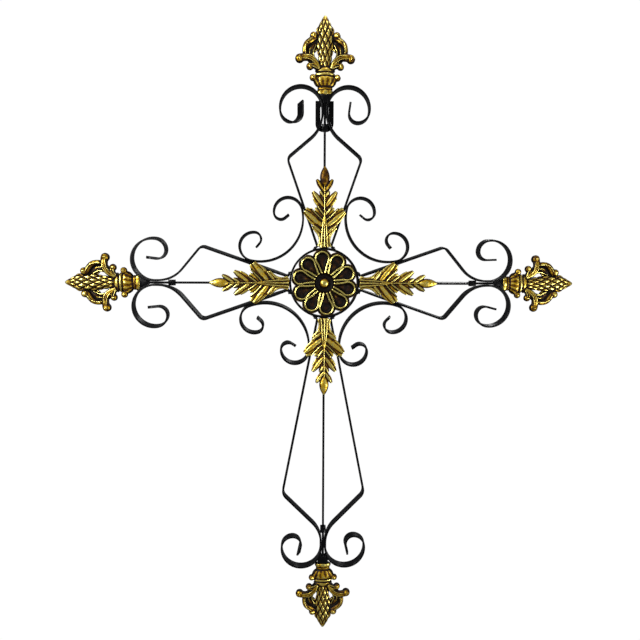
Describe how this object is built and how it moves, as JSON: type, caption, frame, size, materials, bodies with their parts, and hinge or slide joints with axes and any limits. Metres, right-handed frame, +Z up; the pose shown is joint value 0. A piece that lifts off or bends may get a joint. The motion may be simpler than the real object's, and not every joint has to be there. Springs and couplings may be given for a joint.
{
  "type": "wrought iron wall cross",
  "caption": "Latin cross of black flat-iron strip on edge, with scrolled arms, a ring and rosette, cast gold leaf sprays and flame finials, hung by a loop behind.",
  "frame": {"origin": "middle of the underside of the hanging loop's top bar, where the nail or hook bears", "axes": "front faces -Y, the wall is at +Y, +Z up, +X to the right of someone looking at the front"},
  "size_m": [0.7424, 0.0237, 0.9088],
  "materials": {
    "black_iron": "semi-gloss black paint on forged flat strip",
    "antique_gold": "antique gold leaf over a dark brown ground on cast metal"
  },
  "bodies": {
    "root": {"centre_ring": "black_iron", "hanging_loop": "black_iron", "frame_strip_top_left": "black_iron", "frame_strip_top_right": "black_iron", "centre_bar_top": "black_iron", "finial_stem_top": "black_iron", "frame_strip_right_upper": "black_iron", "frame_strip_right_lower": "black_iron", "centre_bar_right": "black_iron", "finial_stem_right": "black_iron", "frame_strip_bottom_right": "black_iron", "frame_strip_bottom_left": "black_iron", "centre_bar_bottom": "black_iron", "finial_stem_bottom": "black_iron", "frame_strip_left_lower": "black_iron", "frame_strip_left_upper": "black_iron", "centre_bar_left": "black_iron", "finial_stem_left": "black_iron", "corner_scroll_upper_right": "black_iron", "corner_scroll_lower_right": "black_iron", "corner_scroll_lower_left": "black_iron", "corner_scroll_upper_left": "black_iron", "rosette": "antique_gold", "leaf_spray_top": "antique_gold", "finial_top": "antique_gold", "leaf_spray_right": "antique_gold", "finial_right": "antique_gold", "leaf_spray_bottom": "antique_gold", "finial_bottom": "antique_gold", "leaf_spray_left": "antique_gold", "finial_left": "antique_gold"}
  },
  "joints": []
}
